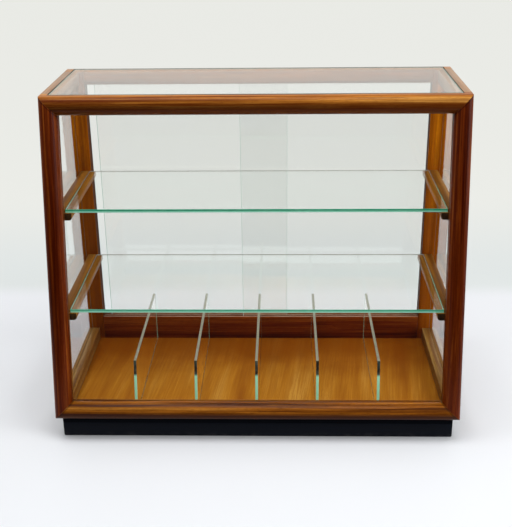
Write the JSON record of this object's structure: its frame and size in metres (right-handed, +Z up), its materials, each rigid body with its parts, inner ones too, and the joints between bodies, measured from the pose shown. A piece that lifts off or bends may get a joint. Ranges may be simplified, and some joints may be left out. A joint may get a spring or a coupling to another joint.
{
  "type": "countertop display cabinet",
  "caption": "Glazed countertop display cabinet with a sloping mitred wooden front frame, glass shelves on bearers, glass floor dividers, sliding glass back doors and a recessed black plinth.",
  "frame": {"origin": "centre of the underside of the plinth, in the plane of the counter that the cabinet stands on", "axes": "+X along the front to the viewer's right, +Y from the sloping front to the doors at the back, +Z up"},
  "size_m": [0.6, 0.2886, 0.5],
  "materials": {
    "front_wood": "worn semi-gloss varnish on red-brown hardwood",
    "bead_wood": "semi-gloss varnish",
    "side_wood": "semi-gloss varnish, worn pale on top",
    "back_wood": "semi-gloss varnish on orange-brown hardwood",
    "bearer_wood": "satin varnish",
    "floor_veneer": "satin varnished veneer, black outer edges",
    "joinery_wood": "bare planed wood",
    "plinth_paint": "satin black paint",
    "case_glass": "polished clear sheet",
    "shelf_glass": "polished sheet with ground green edges",
    "divider_glass": "polished sheet with ground green edges",
    "door_glass": "polished clear sheet with ground edges",
    "screw_steel": "plain steel"
  },
  "bodies": {
    "cabinet": {"back_bottom_rail": "back_wood", "back_left_stile": "back_wood", "back_right_stile": "back_wood", "back_top_rail": "back_wood", "base_panel": "floor_veneer", "base_screws": "screw_steel", "bearer_dowels": "joinery_wood", "carcass_dowels": "joinery_wood", "divider_1": "divider_glass", "divider_2": "divider_glass", "divider_3": "divider_glass", "divider_4": "divider_glass", "divider_5": "divider_glass", "front_bottom_bead": "bead_wood", "front_bottom_rail": "front_wood", "front_frame_splines": "joinery_wood", "front_glass": "case_glass", "front_left_bead": "bead_wood", "front_left_stile": "front_wood", "front_right_bead": "bead_wood", "front_right_stile": "front_wood", "front_top_bead": "bead_wood", "front_top_rail": "front_wood", "left_bottom_rail": "side_wood", "left_glass": "case_glass", "left_top_rail": "side_wood", "lower_left_bearer": "bearer_wood", "lower_right_bearer": "bearer_wood", "lower_shelf": "shelf_glass", "plinth_back": "plinth_paint", "plinth_blocks": "joinery_wood", "plinth_front": "plinth_paint", "plinth_left": "plinth_paint", "plinth_right": "plinth_paint", "right_bottom_rail": "side_wood", "right_glass": "case_glass", "right_top_rail": "side_wood", "top_glass": "case_glass", "upper_left_bearer": "bearer_wood", "upper_right_bearer": "bearer_wood", "upper_shelf": "shelf_glass"},
    "left_door": {"left_door": "door_glass"},
    "right_door": {"right_door": "door_glass"}
  },
  "joints": [
    {"name": "left_door_slide", "type": "slide", "parent": "cabinet", "child": "left_door", "axis": [1, 0, 0], "range_m": [-0.0175, 0.2295]},
    {"name": "right_door_slide", "type": "slide", "parent": "cabinet", "child": "right_door", "axis": [1, 0, 0], "range_m": [-0.247, 0]}
  ]
}
